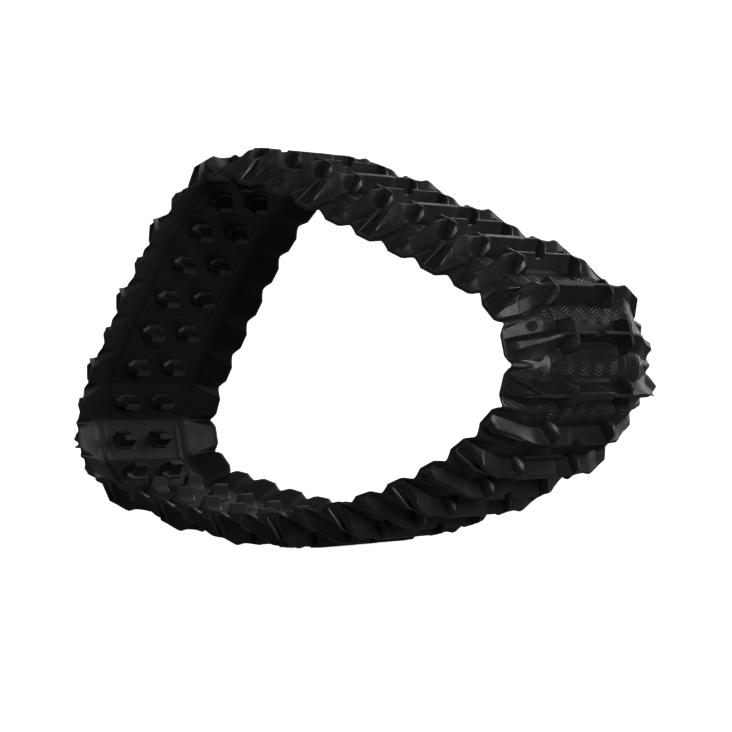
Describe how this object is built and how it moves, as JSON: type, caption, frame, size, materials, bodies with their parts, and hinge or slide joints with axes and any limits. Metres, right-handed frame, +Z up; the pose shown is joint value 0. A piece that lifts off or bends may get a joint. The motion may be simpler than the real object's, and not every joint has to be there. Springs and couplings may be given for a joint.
{
  "type": "rubber track",
  "caption": "Endless moulded rubber track for a small off-road machine, with drive lugs inside and tall tread bars outside.",
  "frame": {"origin": "on the ground under the middle of the loop's length and width", "axes": "+X towards the low front corner of the loop, +Y across the belt, +Z up"},
  "size_m": [1.1716, 0.32, 0.6834],
  "materials": {
    "belt_rubber": "moulded black rubber, fine texture, soft sheen",
    "lug_rubber": "moulded black rubber, smooth, soft sheen",
    "tread_rubber": "moulded black rubber, smooth, soft sheen",
    "cord_fabric": "dipped cord fabric",
    "glass_fibre": "pultruded glass-fibre rod"
  },
  "bodies": {
    "section_1": {"carcass_1": "belt_rubber", "cord_ply_1": "cord_fabric", "cross_rods_1": "glass_fibre", "drive_lugs_1": "lug_rubber", "tread_bars_1": "tread_rubber", "shoulder_lugs_1": "tread_rubber"},
    "section_2": {"carcass_2": "belt_rubber", "cord_ply_2": "cord_fabric", "cross_rods_2": "glass_fibre", "drive_lugs_2": "lug_rubber", "tread_bars_2": "tread_rubber", "shoulder_lugs_2": "tread_rubber"},
    "section_3": {"carcass_3": "belt_rubber", "cord_ply_3": "cord_fabric", "cross_rods_3": "glass_fibre", "drive_lugs_3": "lug_rubber", "tread_bars_3": "tread_rubber", "shoulder_lugs_3": "tread_rubber"},
    "section_4": {"carcass_4": "belt_rubber", "cord_ply_4": "cord_fabric", "cross_rods_4": "glass_fibre", "drive_lugs_4": "lug_rubber", "tread_bars_4": "tread_rubber", "shoulder_lugs_4": "tread_rubber"},
    "section_5": {"carcass_5": "belt_rubber", "cord_ply_5": "cord_fabric", "cross_rods_5": "glass_fibre", "drive_lugs_5": "lug_rubber", "tread_bars_5": "tread_rubber", "shoulder_lugs_5": "tread_rubber"},
    "section_6": {"carcass_6": "belt_rubber", "cord_ply_6": "cord_fabric", "cross_rods_6": "glass_fibre", "drive_lugs_6": "lug_rubber", "tread_bars_6": "tread_rubber", "shoulder_lugs_6": "tread_rubber"},
    "section_7": {"carcass_7": "belt_rubber", "cord_ply_7": "cord_fabric", "cross_rods_7": "glass_fibre", "drive_lugs_7": "lug_rubber", "tread_bars_7": "tread_rubber", "shoulder_lugs_7": "tread_rubber"},
    "section_8": {"carcass_8": "belt_rubber", "cord_ply_8": "cord_fabric", "cross_rods_8": "glass_fibre", "drive_lugs_8": "lug_rubber", "tread_bars_8": "tread_rubber", "shoulder_lugs_8": "tread_rubber"},
    "section_9": {"carcass_9": "belt_rubber", "cord_ply_9": "cord_fabric", "cross_rods_9": "glass_fibre", "drive_lugs_9": "lug_rubber", "tread_bars_9": "tread_rubber", "shoulder_lugs_9": "tread_rubber"}
  },
  "joints": [
    {"name": "ground_front_flex", "type": "hinge", "parent": "section_5", "child": "section_4", "pos_m": [-0.04919, 0, 0.032], "axis": [0, -1, 0], "range_deg": [-4, 4], "stiffness_Nm_per_rad": 500},
    {"name": "rocker_flex", "type": "hinge", "parent": "section_4", "child": "section_3", "pos_m": [0.25271, 0, 0.06054], "axis": [0, -1, 0], "range_deg": [-0.9, 0.9], "stiffness_Nm_per_rad": 500},
    {"name": "front_corner_flex", "type": "hinge", "parent": "section_3", "child": "section_2", "pos_m": [0.52888, 0, 0.18043], "axis": [0, -1, 0], "range_deg": [-0.44, 0.44], "stiffness_Nm_per_rad": 500},
    {"name": "top_run_flex", "type": "hinge", "parent": "section_2", "child": "section_1", "pos_m": [0.42786, 0, 0.41756], "axis": [0, -1, 0], "range_deg": [-5.12, 5.12], "stiffness_Nm_per_rad": 500},
    {"name": "ground_rear_flex", "type": "hinge", "parent": "section_5", "child": "section_6", "pos_m": [-0.34871, 0, 0.07944], "axis": [0, -1, 0], "range_deg": [-0.35, 0.35], "stiffness_Nm_per_rad": 500},
    {"name": "idler_corner_flex", "type": "hinge", "parent": "section_6", "child": "section_7", "pos_m": [-0.55774, 0, 0.24957], "axis": [0, -1, 0], "range_deg": [-4.52, 4.52], "stiffness_Nm_per_rad": 500},
    {"name": "rear_run_flex", "type": "hinge", "parent": "section_7", "child": "section_8", "pos_m": [-0.37519, 0, 0.49062], "axis": [0, -1, 0], "range_deg": [-0.75, 0.75], "stiffness_Nm_per_rad": 500},
    {"name": "sprocket_corner_flex", "type": "hinge", "parent": "section_8", "child": "section_9", "pos_m": [-0.12826, 0, 0.6546], "axis": [0, -1, 0], "range_deg": [-4.09, 4.09], "stiffness_Nm_per_rad": 500}
  ],
  "couplings": [
    {"joint": "rocker_flex", "follows": "ground_front_flex", "ratio": 0.2207},
    {"joint": "front_corner_flex", "follows": "ground_front_flex", "ratio": -0.1058},
    {"joint": "top_run_flex", "follows": "ground_front_flex", "ratio": -1.2754},
    {"joint": "ground_rear_flex", "follows": "ground_front_flex", "ratio": -0.0835},
    {"joint": "idler_corner_flex", "follows": "ground_front_flex", "ratio": 1.1256},
    {"joint": "rear_run_flex", "follows": "ground_front_flex", "ratio": 0.185},
    {"joint": "sprocket_corner_flex", "follows": "ground_front_flex", "ratio": -1.0187}
  ]
}
